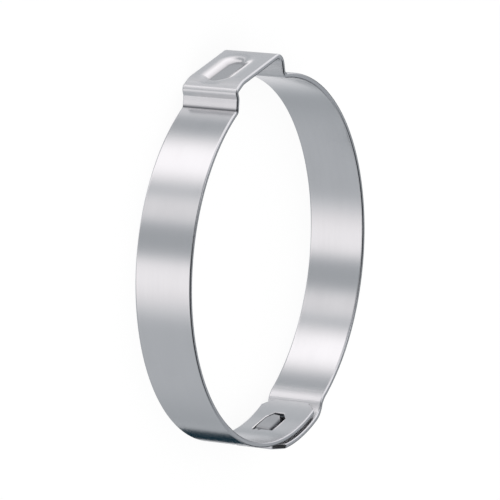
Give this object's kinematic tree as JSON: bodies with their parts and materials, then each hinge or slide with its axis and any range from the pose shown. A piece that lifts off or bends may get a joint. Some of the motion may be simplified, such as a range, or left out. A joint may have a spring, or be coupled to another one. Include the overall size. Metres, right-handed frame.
{
  "type": "ear hose clamp",
  "caption": "Open steel band ring with one dimpled pinch ear and an overlapping hooked lock, for crimping a hose onto a fitting.",
  "frame": {"origin": "centre of the hose bore at mid width of the band", "axes": "+Z along the hose axis, +Y from the bore centre to the ear, +X across the ear; the band lies flat on its lower rim at z = -3.5 mm"},
  "size_m": [0.0432, 0.0462, 0.007],
  "materials": {
    "band_steel": "bright rolled, satin gloss"
  },
  "bodies": {
    "root": {"clamp_band": "band_steel"}
  },
  "joints": []
}
